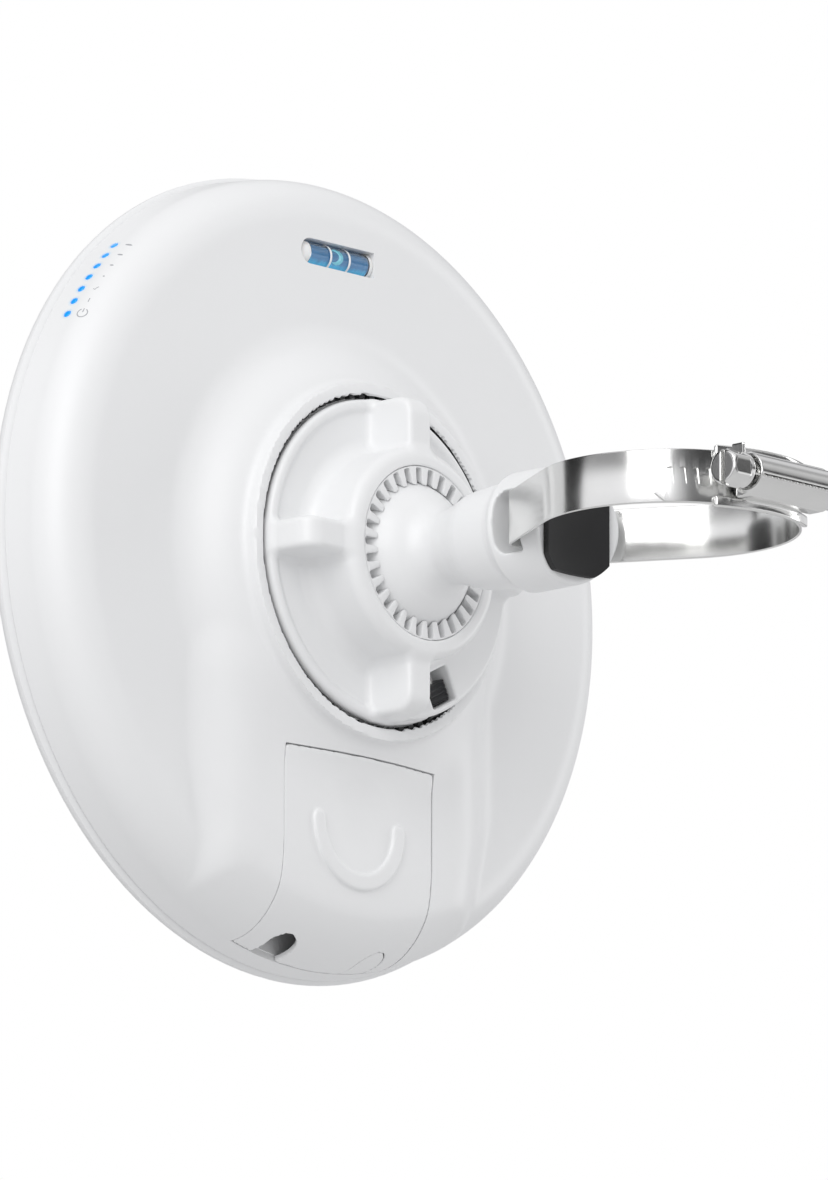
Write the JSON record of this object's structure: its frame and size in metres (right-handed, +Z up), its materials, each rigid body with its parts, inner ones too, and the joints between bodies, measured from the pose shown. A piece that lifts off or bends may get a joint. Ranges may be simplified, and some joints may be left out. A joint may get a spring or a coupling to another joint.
{
  "type": "outdoor wireless bridge",
  "caption": "Round white dish radio with a level vial, status lights and a port cover, on a lockable ball joint, held to a pole by a worm-drive steel band.",
  "frame": {"origin": "on the pole's axis, at the middle of the band's height", "axes": "+Z up along the pole, -Y the way the dish faces, +X to the side of the screw's head"},
  "size_m": [0.1926, 0.1916, 0.1926],
  "materials": {
    "white_shell": "fine moulded satin",
    "white_mount": "fine moulded satin, glass filled",
    "white_collet": "satin",
    "dark_plastic": "satin",
    "light_blue": "clear lens, emissive",
    "vial_clear": "polished",
    "vial_blue": "clear blue fluid",
    "white_cap": "polished",
    "black_rubber": "matt",
    "grey_rubber": "matt",
    "circuit_green": "solder mask",
    "tin_plate": "tinned steel",
    "aluminium": "satin",
    "gold_plate": "plated",
    "stainless": "bright rolled stainless",
    "zinc_steel": "zinc plated",
    "friction_pad": "satin acetal",
    "feed_plastic": "natural moulded"
  },
  "bodies": {
    "pole_mount": {"ball_arm": "white_mount", "saddle_pad": "black_rubber", "clamp_band": "stainless", "band_tail": "stainless", "clamp_housing": "stainless"},
    "band_screw": {"clamp_screw": "stainless"},
    "pan_pad": {"front_friction_pad": "friction_pad"},
    "tilt_pad": {"rear_friction_pad": "friction_pad"},
    "nut": {"lock_nut": "white_mount", "collet_ring": "white_collet", "tab_spring": "stainless"},
    "tab": {"release_tab": "dark_plastic"},
    "cover": {"port_cover": "white_shell", "cable_knockout": "white_shell"},
    "button": {"reset_button": "dark_plastic"},
    "dish": {"rear_housing": "white_shell", "radome": "white_shell", "rim_gasket": "black_rubber", "status_lights": "light_blue", "light_board": "circuit_green", "main_board": "circuit_green", "board_screws": "zinc_steel", "shield_cans": "tin_plate", "thermal_pads": "grey_rubber", "heat_spreader": "aluminium", "reflector": "aluminium", "feed_tube": "gold_plate", "feed_cone": "feed_plastic", "sub_reflector": "aluminium", "ethernet_jack": "tin_plate", "jack_contacts": "gold_plate", "jack_gasket": "black_rubber", "reset_switch": "dark_plastic", "ball_cup": "white_mount", "cup_screws": "zinc_steel", "reflector_screws": "zinc_steel", "detent_ring": "dark_plastic", "vent_membrane": "grey_rubber", "vial_tube": "vial_clear", "vial_fluid": "vial_blue", "vial_end_caps": "white_cap", "vial_mark_rings": "white_cap"}
  },
  "joints": [
    {"name": "pan", "type": "hinge", "parent": "pole_mount", "child": "pan_pad", "pos_m": [0, -0.0884, 0], "axis": [0, 0, 1], "range_deg": [-15, 15]},
    {"name": "tilt", "type": "hinge", "parent": "pan_pad", "child": "tilt_pad", "pos_m": [0, -0.0884, 0], "axis": [1, 0, 0], "range_deg": [-15, 15]},
    {"name": "roll", "type": "hinge", "parent": "tilt_pad", "child": "dish", "pos_m": [0, -0.0884, 0], "axis": [0, 1, 0], "continuous": true},
    {"name": "nut_turn", "type": "hinge", "parent": "dish", "child": "nut", "pos_m": [0, -0.0884, 0], "axis": [0, 1, 0], "range_deg": [0, 90]},
    {"name": "tab_press", "type": "slide", "parent": "nut", "child": "tab", "axis": [0.454, 0, 0.891], "range_m": [0, 0.0014], "stiffness_N_per_m": 800, "springref_m": -0.0008},
    {"name": "cover_slide", "type": "slide", "parent": "dish", "child": "cover", "axis": [0, 0, -1], "range_m": [0, 0.06]},
    {"name": "reset_press", "type": "slide", "parent": "dish", "child": "button", "axis": [0, 0, 1], "range_m": [0, 0.0005], "stiffness_N_per_m": 2000, "springref_m": -0.0005},
    {"name": "screw_turn", "type": "hinge", "parent": "pole_mount", "child": "band_screw", "pos_m": [0, 0.0366, 0], "axis": [1, 0, 0], "continuous": true}
  ]
}
